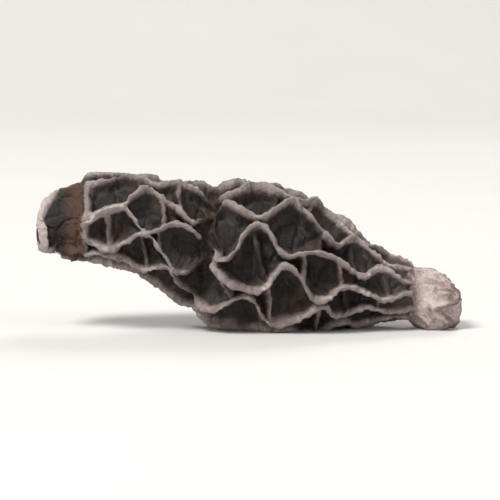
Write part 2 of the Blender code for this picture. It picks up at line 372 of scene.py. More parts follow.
@dataclass(frozen=True)
class DryingMarks:
    """Lumps, creases and puckers of drying, the pressed spot and the stem's folds, in mm."""

    lump_height: float = 0.28
    lump_lengths: tuple = (2.9, 4.3)
    lump_turn: float = 1.7
    lumps_start: tuple = (-19.0, -14.0)
    lumps_end: tuple = (14.5, 11.0)
    puckers: int = 12
    pucker_push: float = 0.07
    pucker_lengths: tuple = (2.6, 7.0)
    creased_angle: float = 1.3
    creased_spread: float = 1.35
    crease_x: float = -4.2
    crease_bow: float = 0.8
    crease_width: float = 1.2
    crease_depth: float = 1.0
    pinch_width: float = 0.7
    pinch_depth: float = 0.75
    tip_groove_x: float = -16.4
    tip_groove_width: float = 0.9
    tip_groove_depth: float = 0.45
    inner_fold_x: float = -14.4
    inner_fold_half_width: float = 0.34
    lip_x: float = -18.6
    lip_half_width: float = 0.44
    tip_fold_height: float = 0.95
    tip_fade_length: float = 1.0
    pressed_x: float = -0.2
    pressed_length: float = 4.0
    pressed_spread: float = 0.42
    stem_folds: int = 6
    stem_fold_depth: float = 0.22
    stem_folds_start: tuple = (0.5, 2.5)
    stem_folds_end: float = 1.0
    seed: int = 13

    def creased(self, angle: np.ndarray) -> np.ndarray:
        """Gives 1 on the creased side of the mushroom, falling smoothly to 0 on the other."""
        off = (angle - self.creased_angle + np.pi) % TURN - np.pi
        return np.exp(-((off / self.creased_spread) ** 4))

    def pinched(self, x: np.ndarray, angle: np.ndarray) -> np.ndarray:
        """Gives the share of the net's height that the crease across the middle leaves."""
        off = (x - self.crease_x - self.crease_bow * np.cos(angle)) / self.pinch_width
        return 1 - self.pinch_depth * np.exp(-(off**2)) * self.creased(angle)

    def folded_tip(
        self, net: np.ndarray, reach: np.ndarray, angle: np.ndarray, outline: Outline
    ) -> np.ndarray:
        """Fades the ridges out on the tip's creased side and lays two folds across it.

        Args:
            net: Height of the net at each point.
            reach: Distance of each row from the tip.
            angle: Angle of each point.
            outline: Form of the mushroom.

        Returns:
            The changed height.
        """
        inner, lip = np.interp((self.inner_fold_x, self.lip_x), outline.stations[:, 0], outline.reach)
        front = self.tip_fold_height * self.creased(angle)
        inner_fold = front * wall_profile(reach[:, None] - inner, self.inner_fold_half_width)
        lip_fold = front * wall_profile(reach[:, None] - lip, self.lip_half_width)
        fading = step_between(inner, inner - self.tip_fade_length, reach)[:, None]
        faded = net * (1 - self.creased(angle) * fading)
        return tallest_of(faded, inner_fold, lip_fold)

    def creases(self, x: np.ndarray, angle: np.ndarray) -> np.ndarray:
        """Gives the depth of the crease across the middle and of the groove behind the tip."""
        bow = self.crease_bow * np.cos(angle)
        crease = self.crease_depth * np.exp(-(((x - self.crease_x - bow) / self.crease_width) ** 2))
        behind_tip = (x - self.tip_groove_x) / self.tip_groove_width
        groove = self.tip_groove_depth * np.exp(-(behind_tip**2))
        return (crease + groove) * self.creased(angle)

    def lumps(self, x: np.ndarray, angle: np.ndarray) -> np.ndarray:
        """Gives how far the wall is swollen or sunk at each point."""
        short, long = self.lump_lengths
        wave = np.sin(x / short + self.lump_turn * np.sin(angle))
        swell = self.lump_height * wave * np.sin(x / long + 2 * angle)
        kept = swell * step_between(*self.lumps_start, x) * step_between(*self.lumps_end, x)
        return kept - self.creases(x, angle)

    def pressed(self, x: np.ndarray, angle: np.ndarray) -> np.ndarray:
        """Gives 1 in the middle of the spot that the mushroom lies on, falling to 0 round it."""
        off = (angle % TURN - np.pi) / self.pressed_spread
        return np.exp(-(((x[:, None] - self.pressed_x) / self.pressed_length) ** 4) - off**4)

    def folds(self, reach: np.ndarray, angle: np.ndarray, outline: Outline) -> np.ndarray:
        """Gives the height of the folds along the cut stem."""
        start = step_between(*(outline.margin + off for off in self.stem_folds_start), reach)
        end = step_between(outline.reach[-1], outline.reach[-1] - self.stem_folds_end, reach)
        waves = np.cos(self.stem_folds * angle + np.sin(reach)[:, None])
        return self.stem_fold_depth * (start * end)[:, None] * waves

    def shrivelled(self, points: np.ndarray) -> np.ndarray:
        """Pushes the points by the same slow waves, as the whole mushroom puckers.

        Args:
            points: Points by ring, column and axis.

        Returns:
            The pushed points.
        """
        rng = np.random.default_rng(self.seed)
        pushed = points.copy()
        for _ in range(self.puckers):
            heading = rng.normal(size=3)
            heading /= np.linalg.norm(heading)
            push = rng.normal(size=3) * self.pucker_push
            phase = points @ heading / rng.uniform(*self.pucker_lengths) + rng.uniform()
            pushed += np.sin(TURN * phase)[..., None] * push
        return pushed


# Nodes

SMOOTH = {"interpolation_type": "SMOOTHSTEP"}
TIMES = {"operation": "MULTIPLY"}
TIMES_PLUS = {"operation": "MULTIPLY_ADD"}
MINUS = {"operation": "SUBTRACT"}
UNSIGNED = {"operation": "ABSOLUTE"}
OF_COLOURS = {"data_type": "RGBA"}
OF_NUMBERS = {"data_type": "FLOAT"}
OF_VECTORS = {"data_type": "FLOAT_VECTOR"}
SEEDED = {"noise_dimensions": "4D"}
SPAN = ("From Min", "From Max", "To Min", "To Max")
NOISE_MIDDLE = 0.5


def fill(node: bpy.types.Node, inputs: dict) -> None:
    """Fills a node's inputs.

    Args:
        node: Node of a material or of geometry nodes.
        inputs: Socket names or numbers, each with a value or the output socket to link.
    """
    for key, value in inputs.items():
        if isinstance(value, bpy.types.NodeSocket):
            node.id_data.links.new(value, node.inputs[key])
        else:
            node.inputs[key].default_value = value


def add(
    tree: bpy.types.NodeTree, kind: str, settings: dict | None = None, inputs: dict | None = None
) -> bpy.types.Node:
    """Adds a node to a tree, with its settings and links.

    Args:
        tree: Tree of a material or of geometry nodes.
        kind: Blender's name for the node's type.
        settings: Property names and their values.
        inputs: Socket names or numbers, each with a value or the output socket to link.

    Returns:
        The new node.
    """
    node = tree.nodes.new(kind)
    for name, value in (settings or {}).items():
        setattr(node, name, value)
    fill(node, inputs or {})
    return node


def linear(hex_colour: str) -> tuple[float, float, float, float]:
    """Turns an sRGB colour, such as "#b9a795", to the linear values that a shader takes."""
    parts = [int(hex_colour[k : k + 2], 16) / 255 for k in (1, 3, 5)]
    return (*[c / 12.92 if c <= 0.04045 else ((c + 0.055) / 1.055) ** 2.4 for c in parts], 1.0)


def blank(name: str) -> tuple[bpy.types.Material, bpy.types.Node, bpy.types.NodeSocket]:
    """Makes a material to build on.

    Args:
        name: Its name.

    Returns:
        The material, its shader and the object coordinates in its tree.
    """
    material = bpy.data.materials.new(name)
    material.use_nodes = True
    place = add(material.node_tree, "ShaderNodeTexCoord").outputs["Object"]
    return material, material.node_tree.nodes["Principled BSDF"], place


def layered(tree: bpy.types.NodeTree, base: str, layers: list[tuple]) -> bpy.types.NodeSocket:
    """Lays colours over one another.

    Args:
        tree: The material's tree.
        base: Hex colour underneath.
        layers: From the lowest up, each layer's hex colour and what its cover is the product of. That is
            a value alone, or with its span: where the cover starts and is full, and the cover at both
            where that isn't 0 and 1.

    Returns:
        The colour.
    """
    colour = linear(base)
    for over, *follows in layers:
        cover = None
        for value, *span in follows:
            if span:
                value = add(tree, "ShaderNodeMapRange", SMOOTH, {
                    "Value": value, **dict(zip(SPAN, span))}).outputs[0]
            if cover is not None:
                value = add(tree, "ShaderNodeMath", TIMES, {0: cover, 1: value}).outputs[0]
            cover = value
        colour = add(tree, "ShaderNodeMix", OF_COLOURS, {
            0: cover, 6: colour, 7: linear(over)}).outputs[2]
    return colour


class Region(IntEnum):
    """Which skin a face has."""

    CAP = 0
    STEM = 1
    LINING = 2


class Trait(str, Enum):
    """Names of the values that the mesh carries for its materials."""

    CREST = "crest"
    PROUD = "proud"
    REGION = "region"
    FURROWED = "furrowed"
    ROOT = "root"


# Finishes


@dataclass(frozen=True)
class CapSkin:
    """Cap skin of a black morel: fungus flesh, dried whole in warm air until it is leathery."""

    # Drying shrinks it to a matt, finely crackled skin. It is near black down in the pits, partly its own
    # dark flesh and partly painted shade, rusty where the flesh is thin, and paler along the crests, which
    # are rubbed dry and dusty. Its pale edges are partly dust and partly a painted highlight.
    name: str = "air_dried_cap_skin"
    # The darkest colour: partly the flesh's own, partly painted shade at the pit floors and in creases.
    dark_flesh_and_painted_shade: str = "#1b1513"
    wall: str = "#3a2e2a"
    crest: str = "#a29693"
    rust: str = "#5c4032"
    # Pale dust on rubbed edges, and partly a painted highlight on the edges that stand proud.
    bloom_and_painted_highlight: str = "#cac1bf"
    margin: str = "#897b77"
    lip: str = "#a69a96"
    # Blotches are 2 to 3 mm across. The flesh's grain is about 0.05 mm and its crackle about 0.2 mm, too
    # fine to show, so both are drawn coarser.
    mottle_size: float = 2.6
    grain_size: float = 0.2
    crackle_size: float = 0.5
    mottle_shift: float = -0.46
    bump_height: float = 0.09
    # A span is where a colour starts and is full, with its cover at both where that isn't 0 and 1. It is
    # read on a ridge's height, on how proud the skin stands, on a pattern or, in mm, on x.
    wall_span: tuple = (0.1, 0.9)
    crest_span: tuple = (0.5, 0.98)
    rust_span: tuple = (0.52, 0.72, 0.0, 0.45)
    rubbed_edge_and_highlight_span: tuple = (0.2, 1.0, 0.0, 1.3)
    bloom_and_highlight_span: tuple = (0.45, 0.85, 0.05)
    # Painted shade: where the darkest colour is laid into creases, read on how proud the skin stands.
    painted_crease_shade_span: tuple = (-0.1, -1.0, 0.0, 0.4)
    groove_x: tuple = ((-17.4, -16.0), (-14.6, -15.4))
    lip_x: tuple = (-17.5, -18.2)
    fold_span: tuple = (0.1, 0.45)
    patch_span: tuple = (0.25, 0.55)
    stem_x: tuple = (11.5, 14.8)
    most_margin: float = 0.75
    margin_span: tuple = (0.1, 0.8, 0.25)
    rough_span: tuple = (0.3, 0.7, 0.62, 0.88)
    crack_span: tuple = (0.0, 0.16)
    crack_share: float = 0.35
    bump_strength: float = 0.9
    ior: float = 1.5
    specular: float = 0.35

    def material(self) -> bpy.types.Material:
        """Builds the material.

        Returns:
            The finished material.
        """
        material, surface, place = blank(self.name)
        tree = material.node_tree
        height, proud = [
            add(tree, "ShaderNodeAttribute", {"attribute_name": trait.value}).outputs["Fac"]
            for trait in (Trait.CREST, Trait.PROUD)]
        mottle, grain = [
            add(tree, "ShaderNodeTexNoise", inputs={
                "Vector": place, "Scale": 1 / (size * MM), "Detail": detail, "Roughness": rough}).outputs[0]
            for size, detail, rough in ((self.mottle_size, 5.0, 0.6), (self.grain_size, 4.0, 0.65))]
        crackle = add(tree, "ShaderNodeTexVoronoi", {"feature": "DISTANCE_TO_EDGE"}, {
            "Vector": place, "Scale": 1 / (self.crackle_size * MM)}).outputs["Distance"]
        along = add(tree, "ShaderNodeSeparateXYZ", inputs={0: place}).outputs["X"]

        # The height of the wall sets the first colour, darker towards the pit floors as partly painted
        # shade, and the mottle moves its border up and down.
        shift = add(tree, "ShaderNodeMath", TIMES_PLUS, {0: mottle, 1: 1.0, 2: self.mottle_shift})
        level = add(tree, "ShaderNodeMath", inputs={0: height, 1: shift.outputs[0]}).outputs[0]
        groove_start, groove_end, on_lip, near_stem = [
            (along, *(x * MM for x in span)) for span in (*self.groove_x, self.lip_x, self.stem_x)]
        colour = layered(tree, self.dark_flesh_and_painted_shade, [
            (self.wall, (level, *self.wall_span)),
            (self.crest, (level, *self.crest_span)),
            # Rusty patches where the flesh is thin, and a pale bloom on the edges that stand proud, partly
            # dust and partly a painted highlight.
            (self.rust, (mottle, *self.rust_span)),
            (self.bloom_and_painted_highlight, (proud, *self.rubbed_edge_and_highlight_span), (grain,), (height, *self.bloom_and_highlight_span)),
            # Painted shade: the darkest colour again, laid into the creases that sink.
            (self.dark_flesh_and_painted_shade, (proud, *self.painted_crease_shade_span)),
            # Rusty in the groove behind the lip of the tip, and rubbed pale on the lip itself.
            (self.rust, groove_start, groove_end, (mottle,)),
            (self.lip, on_lip, (height, *self.fold_span), (mottle, *self.patch_span)),
            # The ridges pale towards the stem.
            (self.margin, (*near_stem, 0.0, self.most_margin), (level, *self.margin_span)),
        ])
        rough, crack = [
            add(tree, "ShaderNodeMapRange", inputs={"Value": value, **dict(zip(SPAN, span))}).outputs[0]
            for value, span in ((grain, self.rough_span), (crackle, self.crack_span))]
        relief = add(tree, "ShaderNodeMath", TIMES_PLUS, {0: crack, 1: self.crack_share, 2: grain})
        bump = add(tree, "ShaderNodeBump", inputs={
            "Height": relief.outputs[0], "Distance": self.bump_height * MM,
            "Strength": self.bump_strength})
        fill(surface, {
            "Base Color": colour, "Roughness": rough, "Normal": bump.outputs[0], "IOR": self.ior,
            "Specular IOR Level": self.specular})
        return material


@dataclass(frozen=True)
class StemSkin:
    """Stem skin of a black morel: paler, spongy flesh, cut with a knife and dried in warm air."""

    # It dries cream to tan and stays matt, with a mealy scurf over it. It has brown stains and is browner
    # next to the cap, its furrows are darkened with painted shade, and it lets a little light into its
    # edges.
    name: str = "air_dried_stem_skin"
    flesh: str = "#ab9d99"
    # The furrow colour is real brown staining where the stains lie, and painted shade in the hollows that
    # sink.
    furrow: str = "#5f4e49"
    scurf: str = "#cbc1be"
    margin: str = "#6a5954"
    # Stains are about 2 mm across. The meal's own grain is about 0.1 mm, drawn coarser so that it shows.
    stain_size: float = 2.2
    meal_size: float = 0.25
    bump_height: float = 0.06
    # Each span is where a colour starts and is full, with its cover at both. The cap's is x, in mm.
    stain_span: tuple = (0.45, 0.75, 0.0, 0.8)
    # Painted shade: where the furrow colour is laid into hollows, read on how proud the skin stands.
    painted_crease_shade_span: tuple = (0.1, -0.7, 0.0, 0.85)
    scurf_span: tuple = (0.52, 0.7, 0.0, 0.45)
    cap_x: tuple = (17.0, 15.6)
    most_margin: float = 0.8
    margin_wander: float = 2.0
    glow: float = 0.12
    glow_depths: tuple = (0.6, 0.35, 0.2)
    bump_strength: float = 0.8
    roughness: float = 0.82
    ior: float = 1.5
    specular: float = 0.3

    def material(self) -> bpy.types.Material:
        """Builds the material.

        Returns:
            The finished material.
        """
        material, surface, place = blank(self.name)
        tree = material.node_tree
        proud = add(tree, "ShaderNodeAttribute", {"attribute_name": Trait.PROUD.value}).outputs["Fac"]
        stain, meal = [
            add(tree, "ShaderNodeTexNoise", inputs={
                "Vector": place, "Scale": 1 / (size * MM), "Detail": detail, "Roughness": 0.6}).outputs[0]
            for size, detail in ((self.stain_size, 5.0), (self.meal_size, 3.0))]
        along = add(tree, "ShaderNodeSeparateXYZ", inputs={0: place}).outputs["X"]
        wander = add(tree, "ShaderNodeMath", TIMES_PLUS, {
            0: stain, 1: self.margin_wander * MM, 2: along}).outputs[0]
        colour = layered(tree, self.flesh, [
            (self.furrow, (stain, *self.stain_span)),
            # Painted shade: the furrow colour laid into the hollows that sink.
            (self.furrow, (proud, *self.painted_crease_shade_span)),
            # Brown where it comes out of the cap.
            (self.margin, (wander, *(x * MM for x in self.cap_x), 0.0, self.most_margin)),
            (self.scurf, (meal, *self.scurf_span)),
        ])
        bump = add(tree, "ShaderNodeBump", inputs={
            "Height": meal, "Distance": self.bump_height * MM, "Strength": self.bump_strength})
        fill(surface, {
            "Base Color": colour, "Roughness": self.roughness, "Normal": bump.outputs[0],
            "IOR": self.ior, "Specular IOR Level": self.specular,
            "Subsurface Weight": self.glow, "Subsurface Scale": 1.0,
            "Subsurface Radius": [depth * MM for depth in self.glow_depths]})
        return material


@dataclass(frozen=True)
class HollowLining:
    """Lining of a black morel's hollow: thin inner flesh, dried in warm air with the rest."""

    # Closed off from the light it dries orange brown, matt and rough, with paler mealy specks.
    name: str = "air_dried_hollow_lining"
    lining: str = "#8a6243"
    shade: str = "#4f3524"
    speck: str = "#cbb08e"
    # Stains are about 2 mm across, and the specks 0.1 to 0.3 mm.
    stain_size: float = 1.8
    speck_size: float = 0.35
    speck_span: tuple = (0.35, 0.1, 0.0, 0.7)
    bump_height: float = 0.06
    bump_strength: float = 0.8
    roughness: float = 0.85
    ior: float = 1.5
    specular: float = 0.3

    def material(self) -> bpy.types.Material:
        """Builds the material.

        Returns:
            The finished material.
        """
        material, surface, place = blank(self.name)
        tree = material.node_tree
        stain = add(tree, "ShaderNodeTexNoise", inputs={
            "Vector": place, "Scale": 1 / (self.stain_size * MM), "Detail": 4.0}).outputs[0]
        specks = add(tree, "ShaderNodeTexVoronoi", inputs={
            "Vector": place, "Scale": 1 / (self.speck_size * MM)}).outputs["Distance"]
        grain = add(tree, "ShaderNodeMapRange", SMOOTH, {
            "Value": specks, **dict(zip(SPAN, self.speck_span))}).outputs[0]
        colour = layered(tree, self.lining, [(self.shade, (stain,)), (self.speck, (grain,))])
        bump = add(tree, "ShaderNodeBump", inputs={
            "Height": grain, "Distance": self.bump_height * MM, "Strength": self.bump_strength})
        fill(surface, {
            "Base Color": colour, "Roughness": self.roughness, "Normal": bump.outputs[0],
            "IOR": self.ior, "Specular IOR Level": self.specular})
        return material


@dataclass(frozen=True)
class StudioPaper:
    """Background paper of a photographer's studio: uncoated, pressed wood pulp."""

    # It has no gloss, and only the faint cloudiness of its pulp, drawn at 40 mm.
    name: str = "uncoated_studio_paper"
    light: str = "#c8c6c4"
    shade: str = "#c3c1be"
    mottle_size: float = 40.0
    roughness: float = 0.9

    def material(self) -> bpy.types.Material:
        """Builds the material.

        Returns:
            The finished material.
        """
        material, surface, place = blank(self.name)
        tree = material.node_tree
        mottle = add(tree, "ShaderNodeTexNoise", inputs={
            "Vector": place, "Scale": 1 / (self.mottle_size * MM)}).outputs[0]
        colour = layered(tree, self.light, [(self.shade, (mottle,))])
        fill(surface, {"Base Color": colour, "Roughness": self.roughness})
        return material


# Objects


def placed(name: str, data: bpy.types.ID) -> bpy.types.Object:
    """Makes an object of a mesh, a light or a camera, and adds it to the scene.

    Args:
        name: The object's name.
        data: What it holds.

    Returns:
        The object.
    """
    item = bpy.data.objects.new(name, data)
    bpy.context.scene.collection.objects.link(item)
    return item


def aim(item: bpy.types.Object, place: Vector, ahead: Vector) -> None:
    """Puts a light or a camera at a place and turns it to look ahead."""
    item.location = place
    item.rotation_mode = "QUATERNION"
    item.rotation_quaternion = ahead.to_track_quat("-Z", "Y")


# Geometry nodes


@dataclass
class GeometryTree:
    """A geometry node tree with named inputs, whose result on a piece is turned to a plain mesh."""

    name: str
    inputs: dict[str, str]

    def __post_init__(self) -> None:
        """Makes the empty tree with its group input and its sockets."""
        self.tree = bpy.data.node_groups.new(self.name, "GeometryNodeTree")
        self.identifiers = {}
        self.tree.interface.new_socket("Geometry", in_out="INPUT", socket_type="NodeSocketGeometry")
        for label, kind in self.inputs.items():
            socket = self.tree.interface.new_socket(label, in_out="INPUT", socket_type=kind)
            self.identifiers[label] = socket.identifier
        self.tree.interface.new_socket("Geometry", in_out="OUTPUT", socket_type="NodeSocketGeometry")
        self.given = self.tree.nodes.new("NodeGroupInput").outputs

    def end(self, geometry: bpy.types.NodeSocket) -> None:
        """Links the tree's result to its output."""
        add(self.tree, "NodeGroupOutput", inputs={0: geometry})

    def apply(self, mesh: bpy.types.Mesh, values: dict) -> bpy.types.Mesh:
        """Runs the tree on a mesh.

        Args:
            mesh: Mesh to change.
            values: Value of each named input.

        Returns:
            The result as a plain mesh.
        """
        carrier = placed(self.name, mesh)
        modifier = carrier.modifiers.new(self.name, "NODES")
        modifier.node_group = self.tree
        for label, value in values.items():
            modifier[self.identifiers[label]] = value
        graph = bpy.context.evaluated_depsgraph_get()
        result = bpy.data.meshes.new_from_object(carrier.evaluated_get(graph), depsgraph=graph)
        bpy.data.objects.remove(carrier)
        return result


@dataclass(frozen=True)
class DryingWrinkles:
    """Fine wrinkles over the whole skin. Sizes are in mm."""

    crinkle_size: float = 1.1
    crinkle_push: float = 0.7
    flute_size: float = 0.55
    flute_depth: float = 0.5
    wrinkle_size: float = 0.5
    wrinkle_depth: float = 0.14
    floor_net_size: float = 1.6
    floor_net_height: float = 0.26
    furrow_spacing: float = 2.1
    furrow_stretch: float = 3.0
    furrow_depth: float = 0.34
    # Where flutes and floors start and are full, on the net's height from 0 on a floor to 1 on a crest.
    fluted_span: tuple = (0.04, 0.4)
    floor_span: tuple = (0.6, 0.05)
    # The floor net's lines from their edge to their middle, and the furrows' from their middle to their
    # edge, with the depth at both.
    floor_net_line: tuple = (0.11, 0.0)
    furrow_line: tuple = (0.0, 0.08, -1.0, 0.0)
    wrinkle_sharpness: tuple = (5.0, -0.5)
    stem_calm: float = 0.85
    stem_starts: float = 0.5
    seed: int = 5

    def apply(self, mesh: bpy.types.Mesh, skin: bpy.types.Material) -> bpy.types.Mesh:
        """Wrinkles a mesh that carries its traits.

        Args:
            mesh: Smooth mesh of the whole mushroom.
            skin: Material of the cap, which covers all of it for now.

        Returns:
            The wrinkled mesh.
        """
        lengths = ("crinkle_size", "crinkle_push", "flute_size", "flute_depth", "wrinkle_size",
                   "wrinkle_depth", "floor_net_size", "floor_net_height", "furrow_spacing", "furrow_depth")
        values = {name.replace("_", " ").title(): getattr(self, name) * MM for name in lengths}
        values |= {"Furrow Stretch": self.furrow_stretch, "Seed": float(self.seed)}
        kinds = {label: "NodeSocketFloat" for label in values}
        made = GeometryTree("drying_wrinkles", {**kinds, "Skin": "NodeSocketMaterial"})
        tree, given = made.tree, made.given
        place = add(tree, "GeometryNodeInputPosition").outputs[0]
        outward = add(tree, "GeometryNodeInputNormal").outputs[0]
        crest, region, on_stem = [
            add(tree, "GeometryNodeInputNamedAttribute", OF_NUMBERS, {"Name": trait.value}).outputs[0]
            for trait in (Trait.CREST, Trait.REGION, Trait.FURROWED)]
        root = add(tree, "GeometryNodeInputNamedAttribute", OF_VECTORS, {
            "Name": Trait.ROOT.value}).outputs["Attribute"]
        on_cap = add(tree, "FunctionNodeCompare", {"operation": "LESS_THAN"}, {
            0: region, 1: self.stem_starts}).outputs[0]
        per = {}
        for label in ("Crinkle Size", "Flute Size", "Wrinkle Size", "Floor Net Size", "Furrow Spacing",
                      "Furrow Stretch"):
            per[label] = add(tree, "ShaderNodeMath", {"operation": "DIVIDE"}, {
                0: 1.0, 1: given[label]}).outputs[0]

        # Flutes run down the walls, because they follow the floor's points and not their own. Furrows are
        # drawn out along the stem.
        drawing = add(tree, "ShaderNodeCombineXYZ", inputs={
            0: per["Furrow Stretch"], 1: 1.0, 2: 1.0}).outputs[0]
        drawn = add(tree, "ShaderNodeVectorMath", TIMES, {0: place, 1: drawing}).outputs[0]
        crinkle, flute, wrinkle, furrow = [
            add(tree, "ShaderNodeTexNoise", SEEDED, {
                "Vector": at, "W": given["Seed"], "Scale": per[label], "Detail": detail}).outputs
            for at, label, detail in (
                (place, "Crinkle Size", 2.0), (root, "Flute Size", 1.0), (place, "Wrinkle Size", 3.0),
                (drawn, "Furrow Spacing", 1.0))]
        flute_wave, wrinkle_wave, furrow_wave = [
            add(tree, "ShaderNodeMath", MINUS, {0: noise[0], 1: NOISE_MIDDLE}).outputs[0]
            for noise in (flute, wrinkle, furrow)]
        wrinkle_off, furrow_off = [
            add(tree, "ShaderNodeMath", UNSIGNED, {0: wave}).outputs[0]
            for wave in (wrinkle_wave, furrow_wave)]
        cells = add(tree, "ShaderNodeTexVoronoi", {
            "voronoi_dimensions": "4D", "feature": "DISTANCE_TO_EDGE"}, {
            "Vector": place, "W": given["Seed"], "Scale": per["Floor Net Size"]}).outputs["Distance"]
        on_wall, fold, low, furrow_cut = [
            add(tree, "ShaderNodeMapRange", SMOOTH, {"Value": value, **dict(zip(SPAN, span))}).outputs[0]
            for value, span in (
                (crest, self.fluted_span), (cells, self.floor_net_line), (crest, self.floor_span),
                (furrow_off, self.furrow_line))]
        steep, shift = self.wrinkle_sharpness
        sharp, calm = [
            add(tree, "ShaderNodeMath", TIMES_PLUS, {0: value, 1: times, 2: plus}).outputs[0]
            for value, times, plus in ((wrinkle_off, steep, shift), (on_stem, -self.stem_calm, 1.0))]

        # Flutes, a low net of folds on the floors of the pits, sharp little wrinkles and furrows add up.
        total = None
        for push, *shares in (
            (flute_wave, on_wall, given["Flute Depth"]),
            (fold, low, given["Floor Net Height"], on_cap),
            (sharp, calm, given["Wrinkle Depth"]),
            (furrow_cut, given["Furrow Depth"], on_stem),
        ):
            for share in shares:
                push = add(tree, "ShaderNodeMath", TIMES, {0: push, 1: share}).outputs[0]
            if total is not None:
                push = add(tree, "ShaderNodeMath", inputs={0: total, 1: push}).outputs[0]
            total = push
        raised = add(tree, "ShaderNodeVectorMath", {"operation": "SCALE"}, {
            0: outward, "Scale": total}).outputs[0]

        # The crests crinkle from side to side, more the higher they stand.
        aside = add(tree, "ShaderNodeVectorMath", MINUS, {
            0: crinkle["Color"], 1: (NOISE_MIDDLE,) * 3}).outputs[0]
        sideways = crest
        for share in (crest, given["Crinkle Push"]):
            sideways = add(tree, "ShaderNodeMath", TIMES, {0: sideways, 1: share}).outputs[0]
        crinkled = add(tree, "ShaderNodeVectorMath", {"operation": "SCALE"}, {
            0: aside, "Scale": sideways}).outputs[0]
        moved = add(tree, "ShaderNodeVectorMath", inputs={0: raised, 1: crinkled}).outputs[0]
        wrinkled = add(tree, "GeometryNodeSetPosition", inputs={
            "Geometry": given["Geometry"], "Offset": moved}).outputs[0]

        # What would pass below the surface that the mushroom lies on stays on it.
        parts = add(tree, "ShaderNodeSeparateXYZ", inputs={0: place}).outputs
        lifted = add(tree, "ShaderNodeMath", {"operation": "MAXIMUM"}, {0: parts["Z"], 1: 0.0}).outputs[0]
        rested = add(tree, "ShaderNodeCombineXYZ", inputs={
            0: parts["X"], 1: parts["Y"], 2: lifted}).outputs[0]
        result = add(tree, "GeometryNodeSetPosition", inputs={
            "Geometry": wrinkled, "Position": rested}).outputs[0]
        realised = add(tree, "GeometryNodeRealizeInstances", inputs={0: result}).outputs[0]
        made.end(add(tree, "GeometryNodeSetMaterial", inputs={
            "Geometry": realised, "Material": given["Skin"]}).outputs[0])
        return made.apply(mesh, {**values, "Skin": skin})


@dataclass(frozen=True)
class MealyScurf:
    """Grains of scurf on the stem, and the three skins of the mushroom. Sizes are in mm."""

    grains_per_mm2: float = 4.0
    grain_radius: float = 0.05
    closest: float = 0.2
    least_stretch: tuple = (0.5, 0.5, 0.5)
    most_stretch: tuple = (1.5, 1.3, 1.1)
    proud: float = 0.6
    region_tolerance: float = 0.4
    region_starts: tuple = (-1.0, 0.5, 1.45)
    seed: int = 8

    def apply(self, mesh: bpy.types.Mesh, skins: dict[Region, bpy.types.Material]) -> bpy.types.Mesh:
        """Scatters the grains and dresses the mesh.

        Args:
            mesh: Wrinkled mesh of the whole mushroom.
            skins: Material of each region.

        Returns:
            The dressed mesh with its grains.
        """
        labels = ("Cap Skin", "Stem Skin", "Lining")
        values = {
            "Grains per Area": self.grains_per_mm2 / MM**2,
            "Grain Radius": self.grain_radius * MM,
            "Closest": self.closest * MM,
            "Seed": self.seed,
            **{label: skins[region] for label, region in zip(labels, Region)},
        }
        kinds = ("Float", "Float", "Float", "Int", "Material", "Material", "Material")
        made = GeometryTree("mealy_scurf", {
            label: f"NodeSocket{kind}" for label, kind in zip(values, kinds)})
        tree, given = made.tree, made.given
        region = add(tree, "GeometryNodeInputNamedAttribute", OF_NUMBERS, {
            "Name": Trait.REGION.value}).outputs["Attribute"]
        on_stem = add(tree, "FunctionNodeCompare", {"operation": "EQUAL"}, {
            0: region, 1: float(Region.STEM), "Epsilon": self.region_tolerance}).outputs[0]
        scattered = add(tree, "GeometryNodeDistributePointsOnFaces", {"distribute_method": "POISSON"}, {
            "Mesh": given["Geometry"], "Selection": on_stem, "Distance Min": given["Closest"],
            "Density Max": given["Grains per Area"], "Seed": given["Seed"]})
        ball = add(tree, "GeometryNodeMeshIcoSphere", inputs={
            "Radius": given["Grain Radius"], "Subdivisions": 1}).outputs["Mesh"]
        grain = add(tree, "GeometryNodeSetShadeSmooth", inputs={"Geometry": ball}).outputs[0]
        for trait, value in ((Trait.PROUD, self.proud), (Trait.REGION, float(Region.STEM))):
            grain = add(tree, "GeometryNodeStoreNamedAttribute", OF_NUMBERS, {
                "Geometry": grain, "Name": trait.value, "Value": value}).outputs[0]
        turn = add(tree, "FunctionNodeRandomValue", OF_VECTORS, {
            "Max": (TURN, TURN, TURN), "Seed": given["Seed"]}).outputs[0]
        stretch = add(tree, "FunctionNodeRandomValue", OF_VECTORS, {
            "Min": self.least_stretch, "Max": self.most_stretch, "Seed": given["Seed"]}).outputs[0]
        grains = add(tree, "GeometryNodeInstanceOnPoints", inputs={
            "Points": scattered.outputs["Points"], "Instance": grain, "Rotation": turn,
            "Scale": stretch}).outputs[0]
        joined = add(tree, "GeometryNodeJoinGeometry")
        for geometry in (grains, given["Geometry"]):
            tree.links.new(geometry, joined.inputs[0])
        dressed = add(tree, "GeometryNodeRealizeInstances", inputs={0: joined.outputs[0]}).outputs[0]
        for label, least in zip(labels, self.region_starts):
            part = add(tree, "FunctionNodeCompare", {"operation": "GREATER_THAN"}, {
                0: region, 1: least}).outputs[0]
            dressed = add(tree, "GeometryNodeSetMaterial", inputs={
                "Geometry": dressed, "Selection": part, "Material": given[label]}).outputs[0]
        made.end(dressed)
        return made.apply(mesh, values)


# The mushroom


def vectors(rows: bpy.types.bpy_prop_collection, name: str) -> np.ndarray:
    """Reads a vector from each item of a mesh's list.

    Args:
        rows: List of points or normals.
        name: Name of the vector in each.

    Returns:
        The vectors, one a row.
    """
    values = np.empty(len(rows) * 3)
    rows.foreach_get(name, values)
    return values.reshape(-1, 3)


